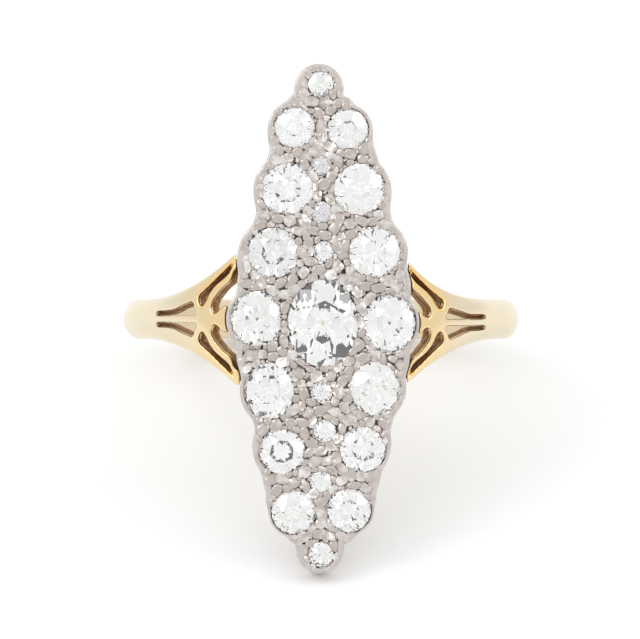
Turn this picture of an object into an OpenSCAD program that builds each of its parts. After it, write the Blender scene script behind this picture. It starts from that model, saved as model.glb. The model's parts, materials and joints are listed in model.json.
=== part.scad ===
// Navette cluster ring: a pierced gold shank under a long scalloped platinum head of old-cut stones.
// Inside "lie" the ring is drawn as worn: X across the finger, Y along it, Z out through the head.

/* [Finger] */
// Inside diameter of the finger hole
finger_d = 17.2; // [16:0.1:20]

/* [Shank] */
// Thickness of the band at the crest of its domed back
band_wall = 1.19; // [1:0.01:1.6]
// Width of the band, along the finger
band_w = 1.94; // [1.7:0.02:2.4]
// Height of the dome above the band's straight edges
band_dome = 0.62; // [0.3:0.02:0.7]
// Depth of the flat worn at the palm, which steadies the ring when it lies down
palm_flat = 0.15; // [0.1:0.01:0.2]
// Width of each shoulder where it meets the head
shoulder_w = 6.56; // [5.6:0.02:7]
// Rise of the shoulders above the plain band at the head
shoulder_rise = 1.2; // [0.8:0.05:1.3]

/* [Stones] */
// Diameter of the main old-cut stones
main_d = 2.54; // [2.4:0.02:2.8]
// Width of the oval centre stone
centre_w = 3.51; // [3.2:0.01:4]
// Length of the oval centre stone
centre_l = 4.4; // [4:0.01:5]
// Diameter of the six small stones down the middle
small_d = 1.04; // [0.9:0.02:1.2]
// Diameter of the stones at the two points
tip_d = 1.29; // [1.1:0.01:1.5]

/* [Spacing] */
// Metal between one row of main stones and the next
row_gap = 0.5; // [0.42:0.01:0.7]
// Metal between the centre stone and the stones beside it
side_gap = 0.23; // [0.2:0.01:0.4]
// Metal between a third-row stone and the small stones that nest against it
nest_gap = 0.2; // [0.18:0.01:0.3]
// Metal between a point's stone and the last pair
tip_gap = 0.95; // [0.8:0.01:1.1]

/* [Head] */
// Thickness of the head at its middle
head_h = 1.75; // [1.7:0.01:2]
// How much lower the head's face lies at the two points than in the middle
head_drop = 0.45; // [0.2:0.01:0.6]
// Clear height between the finger hole and the head's back
head_lift = 0.3; // [0.2:0.01:0.6]
// Width of the raised rim
rim_w = 0.34; // [0.28:0.01:0.4]
// Height of the rim above the field between the stones
rim_h = 0.2; // [0.1:0.01:0.3]
// Diameter of the largest setting grains
grain_d = 0.48; // [0.36:0.01:0.56]

/* [Fit] */
// Gap between a stone and its seat
seat_gap = 0.03; // [0.02:0.01:0.04]
// Gap of the solder seam between the head and the shoulders
seam = 0.05; // [0.03:0.01:0.08]

/* [Hidden] */
$fn = 48;
finger_r = finger_d / 2;
band_r = finger_r + band_wall;
head_back = finger_r + head_lift;
head_top = head_back + head_h;

// Main stones: name, side of the middle line, rows from the centre, inner edge as a share of the
// middle row's, width and length as shares of main_d, rim as a share of rim_w, and how far the
// next notch clockwise stands out, as a share of main_d
NAME = 0;
SIDE = 1;
ROW = 2;
INNER = 3;
WIDE = 4;
LONG = 5;
RIM = 6;
NOTCH = 7;
MAIN = [
  ["row_2_right",  1,  2.95, 0.15, 0.80, 0.80, 0.68, 0.47],
  ["row_3_right",  1,  1.98, 0.30, 1.01, 1.01, 0.94, 0.48],
  ["row_4_right",  1,  0.97, 0.69, 1.01, 1.01, 1.04, 0.57],
  ["row_5_right",  1, -0.06, 1.05, 1.01, 1.11, 0.60, 0.55],
  ["row_6_right",  1, -1.01, 0.70, 0.98, 1.05, 0.94, 0.46],
  ["row_7_right",  1, -1.99, 0.46, 0.90, 0.90, 0.62, 0.46],
  ["row_8_right",  1, -2.98, 0.14, 0.86, 0.86, 0.46, 0.38],
  ["row_8_left",  -1, -3.01, 0.13, 0.86, 0.86, 0.46, 0.48],
  ["row_7_left",  -1, -2.03, 0.39, 0.89, 0.89, 0.90, 0.42],
  ["row_6_left",  -1, -1.05, 0.66, 0.96, 1.11, 0.76, 0.53],
  ["row_5_left",  -1,  0.00, 0.95, 0.99, 1.09, 0.84, 0.56],
  ["row_4_left",  -1,  0.96, 0.55, 0.99, 0.99, 1.34, 0.49],
  ["row_3_left",  -1,  1.99, 0.18, 1.02, 1.02, 1.14, 0.45],
  ["row_2_left",  -1,  2.98, 0.14, 0.80, 0.80, 0.94, 0.41]
];

// Place and size of a stone: X, Y, width, length, rim beside it
X = 0;
Y = 1;
W = 2;
L = 3;
B = 4;
inner_edge = centre_w / 2 + side_gap;
first_nest = 0.18 * row_gap;
first_step = (centre_l + main_d) / 2 - first_nest;
row_step = main_d + row_gap;
function row_y(r) = abs(r) < 1 ? r * first_step : sign(r) * (first_step + (abs(r) - 1) * row_step);
function main_place(m) = [
  m[SIDE] * (m[INNER] * inner_edge + m[WIDE] * main_d / 2), row_y(m[ROW]),
  m[WIDE] * main_d, m[LONG] * main_d, m[RIM] * rim_w
];
mains = [for (m = MAIN) main_place(m)];

function rise(reach, aside) = sqrt(reach * reach - aside * aside);
top_pair = mains[0];
bottom_pair = mains[6];
tip_rim = 0.86 * rim_w;
low_gap = 0.88 * tip_gap;
top_y = top_pair[Y] + rise((top_pair[W] + tip_d) / 2 + tip_gap, top_pair[X]);
low_y = bottom_pair[Y] - rise((bottom_pair[W] + tip_d) / 2 + low_gap, bottom_pair[X]);
tip_top = [0, top_y, tip_d, tip_d, tip_rim];
tip_bottom = [0, low_y, tip_d, tip_d, tip_rim];
centre_x = 0.05 * inner_edge;
centre = [centre_x, row_y(-0.06), centre_w, centre_l, 0];

// Small stones: across as a share of small_d, place along the head, diameter as a share of small_d.
// The first two nest against the left stone of the third row.
third = mains[12];
nest = rise((third[W] + small_d) / 2 + nest_gap, third[X]);
function small_at(x, y, share) = [x * small_d, y, share * small_d, share * small_d, 0];
smalls = [
  small_at(0.00, third[Y] + nest, 1.02),
  small_at(0.03, third[Y] - nest, 1.06),
  small_at(0.13, row_y(0.98), 1.02),
  small_at(0.02, row_y(-1.08), 1.06),
  small_at(0.16, row_y(-1.70), 1.12),
  small_at(0.00, row_y(-2.52), 1.06)
];

// The fourteen main stones and the two points, clockwise from the top, as the rim runs round them
ring_of = concat([tip_top], [for (i = [0:6]) mains[i]], [tip_bottom], [for (i = [7:13]) mains[i]]);
top_notch = 0.36 * main_d;
low_notch = 0.37 * main_d;
notch_depth = concat(
  [top_notch], [for (i = [0:6]) MAIN[i][NOTCH] * main_d],
  [low_notch], [for (i = [7:13]) MAIN[i][NOTCH] * main_d]
);
all_stones = concat(mains, [centre, tip_top, tip_bottom], smalls);

// Swellings of the rim, lower or higher than their stones: the stone's place in ring_of, the shift
// across and along as shares of its width, and the rim round it there as a share of rim_w
PLACE = 0;
ACROSS = 1;
ALONG = 2;
BROAD = 3;
SWELLS = [
  [ 0, -0.08, -0.18, 1.72],
  [ 1,  0.00, -0.38, 0.80],
  [ 2,  0.00, -0.14, 0.92],
  [ 6,  0.00,  0.12, 0.80],
  [ 7,  0.00,  0.32, 0.78],
  [ 8, -0.04,  0.20, 1.58],
  [ 9,  0.00,  0.29, 0.80],
  [10,  0.00,  0.12, 1.06],
  [13,  0.00, -0.14, 1.62],
  [14,  0.00, -0.12, 1.08],
  [15,  0.00, -0.18, 0.98]
];

// Reach of the head on its widest row. The shoulders flare from flare_x, join the head at join_x
// and end under it at end_x. They rise from the first of two angles to the second.
head_reach = abs(mains[3][X]) + mains[3][W] / 2 + mains[3][B];
flare_x = 0.9 * band_r;
join_x = 0.86 * head_reach;
end_x = 0.64 * head_reach;
rise_from = 75;
rise_to = 24;

// Height of the bowed face above the finger's axis
bow_r = (pow(tip_top[Y], 2) + pow(head_drop, 2)) / (2 * head_drop);
function face_z(y) = head_top - bow_r + sqrt(bow_r * bow_r - y * y);

// The ring lies on its side: on the back edge of the bottom point, and on the dome at both ends of
// the palm's flat
dome_r = (pow(band_w / 2, 2) + pow(band_dome, 2)) / (2 * band_dome);
low_swell = SWELLS[5];
tip_reach = -tip_bottom[Y] + tip_d / 2
  + max(tip_rim, low_swell[BROAD] * rim_w - low_swell[ALONG] * tip_d);
palm_c = band_r - palm_flat - dome_r;
lie_a = atan2(head_back + palm_c, tip_reach)
  + asin(dome_r / norm([head_back + palm_c, tip_reach]));

module lie() {
  rotate([lie_a, 0, 0]) children();
}

// Shank. Angles run from the head, which is at 0, to the palm at 180. The upper half of the right
// shoulder is slimmer than the other three quarters.
flare_power = 1.95;
slim_power = 2.8;
slim_share = 0.88;
rise_power = 1.5;
dome_fade = 0.45;
function clamp(v) = min(1, max(0, v));
function along(x) = clamp((flare_x - x) / (flare_x - join_x));
function flared(u, slim) = slim ? slim_share * pow(u, slim_power) : pow(u, flare_power);
function half_w(x, slim = false) = band_w / 2 + (shoulder_w - band_w) / 2 * flared(along(x), slim);
function risen(a) = shoulder_rise * pow(clamp((rise_from - a) / (rise_from - rise_to)), rise_power);
function crest_r(a) =
  a > 90 ? min(band_r, (band_r - palm_flat) / cos(180 - a)) : band_r + risen(a);
function angle_at(x, a = 45, steps = 5) =
  steps == 0 ? a : angle_at(x, asin(min(1, x / crest_r(a))), steps - 1);
function dome_at(x) = band_dome * (1 - dome_fade * along(x));

// Radius of the skin at a share of the half width, on a round-backed section
steepest = 0.94;
function skin_r(a, x, share) =
  let (full = asin(min(steepest, band_w / 2 / dome_r)))
  crest_r(a) - dome_at(x) * (1 - cos(asin(share * sin(full)))) / (1 - cos(full));

// A section reaches inside the finger hole, which is bored through it afterwards
section_points = 14;
bored = 0.95 * finger_r;
function section(a) =
  let (
    side = min(a, 360 - a),
    x = side > 90 ? flare_x : crest_r(side) * sin(side),
    low = half_w(x),
    high = half_w(x, a < 90)
  )
  concat(
    [[bored, high], [bored, -low]],
    [for (i = [0:section_points - 3])
      let (share = -1 + 2 * i / (section_points - 3))
      [skin_r(side, x, share), share * (share > 0 ? high : low)]]
  );

module loft(rows, n) {
  last = len(rows) - n;
  polyhedron(
    points = rows,
    faces = concat(
      [[for (i = [n - 1:-1:0]) i]],
      [[for (i = [0:n - 1]) last + i]],
      [for (r = [0:n:last - n]) for (i = [0:n - 1])
        [r + i, r + (i + 1) % n, r + n + (i + 1) % n]],
      [for (r = [0:n:last - n]) for (i = [0:n - 1])
        [r + i, r + n + (i + 1) % n, r + n + i]]
    )
  );
}

module blank() {
  from = asin(end_x / band_r);
  steps = 64;
  rows = [for (s = [0:steps])
    let (a = from + (360 - 2 * from) * s / steps)
    for (p = section(a)) [p[0] * sin(a), p[1], p[0] * cos(a)]];
  loft(rows, section_points);
}

// Piercings of a shoulder's upper half, as shares of the way from the flare to the head and of the
// half width there. Each is cut on a lean, away from the head and from the middle line.
WEDGE = [
  [0.16, 0.38], [0.32, 0.37], [0.42, 0.48], [0.53, 0.54],
  [0.55, 0.34], [0.575, 0.20], [0.57, 0.12], [0.35, 0.16], [0.16, 0.18]
];
CRESCENT = [
  [0.60, 0.62], [0.68, 0.73], [0.745, 0.79], [0.81, 0.84], [0.88, 0.88], [0.94, 0.92], [0.985, 0.95],
  [0.95, 0.86], [0.92, 0.79], [0.88, 0.76], [0.81, 0.735], [0.76, 0.70], [0.705, 0.60], [0.665, 0.43],
  [0.63, 0.34], [0.61, 0.43]
];
GAP = [
  [0.735, 0.24], [0.755, 0.125], [0.79, 0.14], [0.835, 0.215], [0.87, 0.24], [1.06, 0.24],
  [1.06, 0.76], [0.975, 0.74], [0.95, 0.66], [0.92, 0.61], [0.87, 0.59], [0.83, 0.55],
  [0.80, 0.50], [0.76, 0.43], [0.74, 0.34]
];

WEDGE_LEAN = [5, 6];
CRESCENT_LEAN = [12, 4];
GAP_LEAN = [10, 1];

module pierce(outline, leans, slim) {
  lean = leans[0];
  inward = leans[1];
  rotate([0, lean, 0]) rotate([-inward, 0, 0])
    linear_extrude(2 * band_r)
      polygon([for (p = outline)
        let (
          x = flare_x - p[0] * (flare_x - join_x),
          y = p[1] * half_w(x, slim),
          a = angle_at(x),
          z = skin_r(a, x, p[1]) * cos(a),
          w = x * sin(lean) + z * cos(lean)
        )
        [x * cos(lean) - z * sin(lean), y * cos(inward) - w * sin(inward)]]);
}

// The wedges and gaps of the right shoulder are sawn a little lower than those of the left one
right_low = 0.08 * band_w;

module piercings() {
  for (side = [0, 1]) mirror([side, 0, 0])
    for (half = [0, 1]) {
      slim = side + half == 0;
      mirror([0, half, 0]) pierce(CRESCENT, CRESCENT_LEAN, slim);
      translate([0, (side - 1) * right_low, 0]) mirror([0, half, 0]) {
        pierce(WEDGE, WEDGE_LEAN, slim);
        pierce(GAP, GAP_LEAN, slim);
      }
    }
}

module shank() {
  color([0.93, 0.84, 0.66]) lie() difference() {
    blank();
    rotate([90, 0, 0]) cylinder(r = finger_r, h = 2 * shoulder_w, center = true, $fn = 96);
    piercings();
    translate([0, 0, head_back - seam]) scalloped(2 * head_h, seam);
  }
}

// Head
function spot(s) = [s[X], s[Y]];
function between(i) = (spot(ring_of[i]) + spot(ring_of[(i + 1) % 16])) / 2;
function outward(i) =
  let (e = spot(ring_of[(i + 1) % 16]) - spot(ring_of[i]))
  [-e[1], e[0]] / norm(e);
function notch(i, grow) = between(i) + outward(i) * (notch_depth[i] + grow);

// A column round a stone's outline: heights, with the outline's size there as a share of the
// stone's own and an amount added all round. An oval one has flat sides.
oval_sides = 32;
function loop(s, z, share, grow) = [for (i = [0:oval_sides - 1])
  [s[X] + (share * s[W] / 2 + grow) * sin(i * 360 / oval_sides),
   s[Y] + (share * s[L] / 2 + grow) * cos(i * 360 / oval_sides), z]];
module column(s, steps) {
  n = len(steps);
  if (s[W] == s[L]) {
    translate([s[X], s[Y], 0]) rotate_extrude()
      polygon(concat(
        [[0, steps[0][0]]],
        [for (t = steps) [t[1] * s[W] / 2 + t[2], t[0]]],
        [[0, steps[n - 1][0]]]
      ));
  } else {
    loft([for (t = steps) for (p = loop(s, t[0], t[1], t[2])) p], oval_sides);
  }
}

module scalloped(h, grow) {
  linear_extrude(h) polygon([for (i = [0:15]) notch(i, grow)]);
  for (s = ring_of) column(s, [[0, 1, s[B] + grow], [h, 1, s[B] + grow]]);
  for (t = SWELLS)
    let (s = ring_of[t[PLACE]])
    translate([s[X] + t[ACROSS] * s[W], s[Y] + t[ALONG] * s[W], 0])
      cylinder(r = s[W] / 2 + t[BROAD] * rim_w + grow, h = h);
}

module field(h) {
  linear_extrude(h) polygon([for (i = [0:15]) notch(i, -rim_w)]);
}

module bowed(drop) {
  rotate([0, 90, 0]) translate([bow_r - head_top + drop, 0, 0])
    cylinder(r = bow_r, h = 4 * head_reach, center = true, $fn = 360);
}

// A stone's girdle lies a little under the face, and its seat follows the cone of its pavilion
girdle_drop = 0.5 * rim_h;
hole_share = 0.64;
seat_slope = 0.93;
function girdle_z(s) = face_z(s[Y]) - girdle_drop;

module seat(s) {
  z = girdle_z(s) - girdle_t * s[W];
  deep = (1 - hole_share) * s[W] / 2 / seat_slope;
  column(s, [
    [head_back - head_h, hole_share, seat_gap],
    [z - deep, hole_share, seat_gap],
    [z, 1, seat_gap],
    [head_back + 2 * head_h, 1, seat_gap]
  ]);
}

// Grains stand in the gaps between neighbouring stones, up to three on the line between two
// stones, clear of every stone, of the rim and of each other
grain_clear = grain_d / 16;
widest_gap = 2.3 * grain_d;
min_grain_r = 0.29 * grain_d;
grain_step = 1.25 * grain_d;
grain_spacing = 1.1;
function ray(s, ux, uy) = 0.5 / sqrt(pow(ux / s[W], 2) + pow(uy / s[L], 2));
function clear_of(s, p) =
  let (dx = p[0] - s[X], dy = p[1] - s[Y], d = max(0.001, norm([dx, dy])))
  d - ray(s, dx / d, dy / d);
function clearance(p) = min([for (s = all_stones) clear_of(s, p)]) - seat_gap - grain_clear;
function inside(p, i = 0, hit = false) =
  i == 16 ? hit :
  let (a = notch(i, -rim_w), b = notch((i + 1) % 16, -rim_w))
  inside(p, i + 1, (a[1] > p[1]) != (b[1] > p[1])
    && p[0] < (b[0] - a[0]) * (p[1] - a[1]) / (b[1] - a[1]) + a[0] ? !hit : hit);
function from_edge(p, i) =
  let (a = notch(i, -rim_w), b = notch((i + 1) % 16, -rim_w), e = b - a,
    t = clamp(((p - a) * e) / (e * e)))
  norm(p - a - t * e);
function rim_gap(p) = min([for (i = [0:15]) from_edge(p, i)]) - grain_clear;
function gap_mid(s, t) =
  let (dx = t[X] - s[X], dy = t[Y] - s[Y], d = norm([dx, dy]), ux = dx / d, uy = dy / d,
    rs = ray(s, ux, uy), g = d - rs - ray(t, ux, uy))
  [s[X] + ux * (rs + g / 2), s[Y] + uy * (rs + g / 2), g, ux, uy];
candidates = [
  for (i = [0:len(all_stones) - 2]) for (j = [i + 1:len(all_stones) - 1])
    let (m = gap_mid(all_stones[i], all_stones[j]))
    if (m[2] < widest_gap)
      for (k = [-1, 0, 1])
        let (
          p = [m[0] - m[4] * k * grain_step, m[1] + m[3] * k * grain_step],
          r = min(grain_d / 2, clearance(p), rim_gap(p))
        )
        if (r > min_grain_r && inside(p)) [p[0], p[1], r]
];
function apart(g, kept) =
  min([2 * grain_spacing, for (k = kept) norm([g[0] - k[0], g[1] - k[1]]) / (g[2] + k[2])]);
function thinned(i = 0, kept = []) =
  i == len(candidates) ? kept :
  thinned(i + 1, apart(candidates[i], kept) < grain_spacing ? kept : concat(kept, [candidates[i]]));
grains = thinned();

// A grain is rooted below the field, and its bevelled top stands a little above the rim
grain_proud = 0.3 * rim_h;
grain_root = 1.9 * rim_h;
module grain(g) {
  top = face_z(g[1]) + grain_proud;
  column([g[0], g[1], 2 * g[2], 2 * g[2]], [
    [top - grain_root, 1, 0],
    [top - 0.5 * g[2], 1, 0],
    [top, 0.5, 0]
  ]);
}

module setting() {
  color([0.80, 0.78, 0.75]) lie() difference() {
    union() {
      difference() {
        intersection() {
          translate([0, 0, head_back]) scalloped(2 * head_h, 0);
          bowed(0);
        }
        difference() {
          translate([0, 0, head_back + head_h / 3]) field(2 * head_h);
          bowed(rim_h);
        }
      }
      for (g = grains) grain(g);
    }
    for (s = all_stones) seat(s);
  }
}

// Stones: old cuts with a small table, a high crown and a cut-off culet, as shares of the width
girdle_t = 0.04;
crown_h = 0.17;
pavilion_h = 0.42;
table = 0.5;
waist = 0.78;
low_waist = 0.6;
culet = 0.09;
function turn(r, a, s, z) = [s[X] + r * sin(a) * s[W] / 2, s[Y] + r * cos(a) * s[L] / 2, z];

// Rings of points from the table down to the culet, joined by the facets of an old cut
module cut_stone(s) {
  z = girdle_z(s);
  top = z + crown_h * s[W];
  low = z - girdle_t * s[W];
  bottom = low - pavilion_h * s[W];
  k = cos(22.5);
  crown_z = top - crown_h * s[W] * (waist * k - table) / (1 - table);
  low_z = bottom + pavilion_h * s[W] * (low_waist * k - culet) / (1 - culet);
  pts = concat(
    [for (i = [0:7]) turn(table, 45 * i, s, top)],
    [for (i = [0:7]) turn(waist, 45 * i + 22.5, s, crown_z)],
    [for (i = [0:15]) turn(1, 22.5 * i, s, z)],
    [for (i = [0:15]) turn(1, 22.5 * i, s, low)],
    [for (i = [0:7]) turn(low_waist, 45 * i + 22.5, s, low_z)],
    [for (i = [0:7]) turn(culet, 45 * i, s, bottom)]
  );
  polyhedron(points = pts, faces = concat(
    [[for (i = [0:7]) i]],
    [for (i = [0:7]) [i, 8 + i, (i + 1) % 8]],
    [for (i = [0:7]) [i, 8 + (i + 7) % 8, 16 + 2 * i, 8 + i]],
    [for (i = [0:7]) [8 + i, 16 + 2 * i, 17 + 2 * i]],
    [for (i = [0:7]) [8 + i, 17 + 2 * i, 16 + (2 * i + 2) % 16]],
    [for (i = [0:15]) [16 + i, 32 + i, 32 + (i + 1) % 16, 16 + (i + 1) % 16]],
    [for (i = [0:7]) [48 + i, 33 + 2 * i, 32 + 2 * i]],
    [for (i = [0:7]) [48 + i, 32 + (2 * i + 2) % 16, 33 + 2 * i]],
    [for (i = [0:7]) [56 + i, 48 + i, 32 + 2 * i, 48 + (i + 7) % 8]],
    [for (i = [0:7]) [56 + i, 56 + (i + 1) % 8, 48 + i]],
    [[for (i = [7:-1:0]) 56 + i]]
  ));
}

module old_cut(s) {
  color([0.95, 0.96, 0.97]) lie() cut_stone(s);
}

shank();
setting();
old_cut(centre);  // centre_stone
old_cut(tip_top);
old_cut(tip_bottom);
for (i = [0:5]) old_cut(smalls[i]);
for (i = [0:13]) old_cut(mains[i]);
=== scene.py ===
"""The looks of a navette cluster ring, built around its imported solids.

Shapes are drawn in the ring's own frame in millimetres (X across the finger, Y along it, Z out
through the head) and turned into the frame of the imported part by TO_WORLD.
"""

import json
import math
import random

import bmesh
import bpy
import numpy as np
from mathutils import Matrix, Vector, noise
from mathutils.geometry import delaunay_2d_cdt


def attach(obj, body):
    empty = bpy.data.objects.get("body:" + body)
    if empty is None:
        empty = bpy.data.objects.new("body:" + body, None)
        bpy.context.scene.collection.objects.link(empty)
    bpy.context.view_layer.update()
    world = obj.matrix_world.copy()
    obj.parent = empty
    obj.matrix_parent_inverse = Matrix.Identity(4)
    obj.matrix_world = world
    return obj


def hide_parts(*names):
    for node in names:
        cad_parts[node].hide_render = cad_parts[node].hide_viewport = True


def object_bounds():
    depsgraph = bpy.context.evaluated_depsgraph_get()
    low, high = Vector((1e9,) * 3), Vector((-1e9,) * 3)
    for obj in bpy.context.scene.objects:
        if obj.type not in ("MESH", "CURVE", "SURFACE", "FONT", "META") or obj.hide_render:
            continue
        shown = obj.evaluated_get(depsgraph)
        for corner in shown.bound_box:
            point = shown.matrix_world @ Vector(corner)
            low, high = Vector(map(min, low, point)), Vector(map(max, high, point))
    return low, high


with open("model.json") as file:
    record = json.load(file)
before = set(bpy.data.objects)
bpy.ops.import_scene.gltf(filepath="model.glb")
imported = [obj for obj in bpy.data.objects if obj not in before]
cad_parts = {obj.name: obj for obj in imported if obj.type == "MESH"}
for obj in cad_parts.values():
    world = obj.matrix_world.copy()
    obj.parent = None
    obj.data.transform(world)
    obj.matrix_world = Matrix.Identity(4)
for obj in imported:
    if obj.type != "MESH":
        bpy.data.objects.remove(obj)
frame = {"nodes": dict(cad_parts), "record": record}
cad_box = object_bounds()

HOLE = frame["record"]["mounts"][0]
LEAN = math.atan2(HOLE["axis"][2], HOLE["axis"][1])
TO_WORLD = Matrix.Scale(0.001, 4) @ Matrix.Rotation(LEAN, 4, "X")
TO_RING = TO_WORLD.inverted()

# The ring's main sizes in millimetres, as the solids have them
FINGER_R = HOLE["dims"]["r_mm"]
BAND_R = 9.79
BAND_W = 1.94
BAND_DOME = 0.62
PALM_FLAT = 0.15
SHOULDER_W = HOLE["dims"]["length_mm"]
SHOULDER_RISE = 1.2
FLARE_X = 0.9 * BAND_R
JOIN_X = 4.174
END_X = 3.106
HEAD_BACK = 8.9
HEAD_TOP = 10.65
BOW_R = 148.82
CROWN = 0.17
GIRDLE = 0.04
PAVILION = 0.42
HOLE_SHARE = 0.64
SEAT_SLOPE = 0.93


def clamp(v, low=0.0, high=1.0):
    return min(high, max(low, v))


def smooth(a, b, v):
    t = np.clip((v - a) / (b - a), 0, 1)
    return t * t * (3 - 2 * t)


def face_z(y):
    return HEAD_TOP - BOW_R + np.sqrt(BOW_R * BOW_R - y * y)


def stand(name, data):
    """A new object in the scene."""
    o = bpy.data.objects.new(name, data)
    bpy.context.scene.collection.objects.link(o)
    return o


# Materials


def linked(tree, kind, settings=None, **wires):
    """A node of this kind in a tree, with its settings made and its inputs wired or set.

    An input is named by its label, or by its place after an underscore.
    """
    n = tree.nodes.new(kind)
    for k, v in (settings or {}).items():
        setattr(n, k, v)
    for k, v in wires.items():
        socket = n.inputs[int(k[1:])] if k[1:].isdigit() else n.inputs[k.replace("_", " ")]
        if isinstance(v, bpy.types.NodeSocket):
            tree.links.new(v, socket)
        else:
            socket.default_value = v
    return n


def maths(tree, op, a, b=0.0, clamped=False):
    settings = {"operation": op, "use_clamp": clamped}
    return linked(tree, "ShaderNodeMath", settings, **{"_0": a, "_1": b}).outputs[0]


def ranged(tree, value, low, high, least=0.0, most=1.0):
    wires = {"_1": low, "_2": high, "_3": least, "_4": most}
    return linked(tree, "ShaderNodeMapRange", Value=value, **wires).outputs[0]


def mixed(tree, share, a, b):
    wires = {"_0": share, "_6": a, "_7": b}
    return linked(tree, "ShaderNodeMix", {"data_type": "RGBA"}, **wires).outputs[2]


def clouds(tree, at, scale, detail, **more):
    return linked(tree, "ShaderNodeTexNoise", Vector=at, Scale=scale, Detail=detail, **more).outputs[0]


def new_group(name, ins, outs):
    g = bpy.data.node_groups.new(name, "ShaderNodeTree")
    for label, kind, value in ins:
        s = g.interface.new_socket(label, in_out="INPUT", socket_type="NodeSocket" + kind)
        s.default_value = value
    for label, kind in outs:
        g.interface.new_socket(label, in_out="OUTPUT", socket_type="NodeSocket" + kind)
    return g, g.nodes.new("NodeGroupInput").outputs, g.nodes.new("NodeGroupOutput").inputs


def new_material(name):
    m = bpy.data.materials.new(name)
    m.use_nodes = True
    return m, m.node_tree, m.node_tree.nodes["Principled BSDF"]


# Hair scratches run one way: how their pattern is turned and stretched. Specks lie in sawn hollows.
HAIR_TURN = (0.4, 0.9, 0.3)
HAIR_STRETCH = (1, 14, 1)
SPECK_SIZE = 4200.0


def metal_wear_and_painted_light_group():
    """Patchy colour, cloudy and scratched gloss, and a fine relief, for worn precious metal.

    The glow mask says where a painted reflection, the metal's own glow, lies on it, and Hollow where
    it lies deep, where painted shade and grime darken it.
    """
    g, i, o = new_group(
        "metal wear and painted light",
        [
            ("Metal", "Color", (0.8, 0.8, 0.8, 1)),
            ("Patch", "Color", (0.7, 0.7, 0.7, 1)),
            ("Edge", "Color", (0.5, 0.4, 0.3, 1)),
            ("Dirt", "Color", (0.1, 0.08, 0.07, 1)),
            ("Gloss", "Float", 0.3),
            ("Cloudiness", "Float", 0.1),
            ("Patch Size", "Float", 700.0),
            ("Grain Size", "Float", 9000.0),
            ("Scratch", "Float", 0.3),
            ("PaintedGlow", "Float", 0.0),
            ("Hollow", "Float", 0.0),
            ("Tone", "Float", 0.0),
            ("Satin", "Float", 0.0),
        ],
        [("Color", "Color"), ("Metallic", "Float"), ("Roughness", "Float"), ("Height", "Float")],
    )

    at = linked(g, "ShaderNodeTexCoord").outputs["Object"]

    # The patterns. Noise lies mostly between 0.3 and 0.7, so each is stretched from its own low and high.
    patch = clouds(g, at, i["Patch Size"], 3.0)
    grain = clouds(g, at, i["Grain Size"], 2.0)
    run = linked(g, "ShaderNodeMapping", Vector=at, Rotation=HAIR_TURN, Scale=HAIR_STRETCH).outputs[0]
    hairs = ranged(g, clouds(g, run, i["Patch Size"], 6.0, Roughness=0.75), 0.56, 0.72)
    speck = clouds(g, at, SPECK_SIZE, 3.0, Roughness=0.7)

    # Colour: bright and patchy, with a painted reflection where told to, and dark and dull deep down,
    # with painted shade and grime
    spread = maths(g, "ADD", ranged(g, patch, 0.38, 0.66), i["Tone"], True)
    # The painted reflection: the glow colour is laid where the glow mask says
    tint = mixed(g, i["PaintedGlow"], mixed(g, spread, i["Metal"], i["Patch"]), i["Edge"])
    # Painted shade and grime: hollows take the glow-and-shade colour, and deep down the darkest one
    edged = mixed(g, ranged(g, i["Hollow"], 0.0, 0.45), tint, i["Edge"])
    deep = maths(g, "MULTIPLY", ranged(g, i["Hollow"], 0.25, 0.95), ranged(g, speck, 0.38, 0.58, 0.45, 1.0))
    g.links.new(mixed(g, deep, edged, i["Dirt"]), o["Color"])
    g.links.new(maths(g, "SUBTRACT", 1.0, maths(g, "MULTIPLY", deep, 0.8)), o["Metallic"])

    # Gloss and relief
    cloud = maths(g, "MULTIPLY", patch, i["Cloudiness"])
    scratch = maths(g, "MULTIPLY", hairs, i["Scratch"])
    worn = maths(g, "ADD", maths(g, "ADD", i["Gloss"], cloud), maths(g, "MULTIPLY", scratch, 0.3))
    dull = maths(g, "ADD", maths(g, "MULTIPLY", i["Hollow"], 0.25), maths(g, "MULTIPLY", i["Satin"], 0.40))
    g.links.new(maths(g, "ADD", worn, dull), o["Roughness"])
    sawn = maths(g, "MULTIPLY", speck, maths(g, "MULTIPLY", i["Hollow"], 4.0))
    g.links.new(maths(g, "ADD", maths(g, "SUBTRACT", grain, scratch), sawn), o["Height"])
    return g


WEAR_AND_PAINTED_LIGHT = metal_wear_and_painted_light_group()


def worn_metal(name, bright, patch, edge, dirt, gloss, cloud, relief, masks, sheen=0.5, **sizes):
    """A worn metal, whose edge and deep colours hold painted shade and grime, and for gold a painted
    reflection too. Masks gives the attribute that drives each of the group's inputs named in it.
    """
    m, t, p = new_material(name)
    colours = dict(Metal=(*bright, 1), Patch=(*patch, 1), Edge=(*edge, 1), Dirt=(*dirt, 1))
    w = linked(t, "ShaderNodeGroup", {"node_tree": WEAR_AND_PAINTED_LIGHT}, Gloss=gloss, Cloudiness=cloud, **colours, **sizes)
    for socket, attribute in masks.items():
        a = linked(t, "ShaderNodeAttribute", {"attribute_name": attribute})
        t.links.new(a.outputs["Fac"], w.inputs[socket])
    p.inputs["Specular IOR Level"].default_value = sheen
    t.links.new(w.outputs["Color"], p.inputs["Base Color"])
    t.links.new(w.outputs["Metallic"], p.inputs["Metallic"])
    t.links.new(w.outputs["Roughness"], p.inputs["Roughness"])
    b = linked(t, "ShaderNodeBump", Strength=1.0, Distance=relief, Height=w.outputs["Height"])
    t.links.new(b.outputs[0], p.inputs["Normal"])
    return m


# Gold: its edge colour is a painted reflection, the deep orange of the gold's own reflections beside the
# piercings and in their walls, and its deep colour is painted shade with grime in the sawn walls
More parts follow.
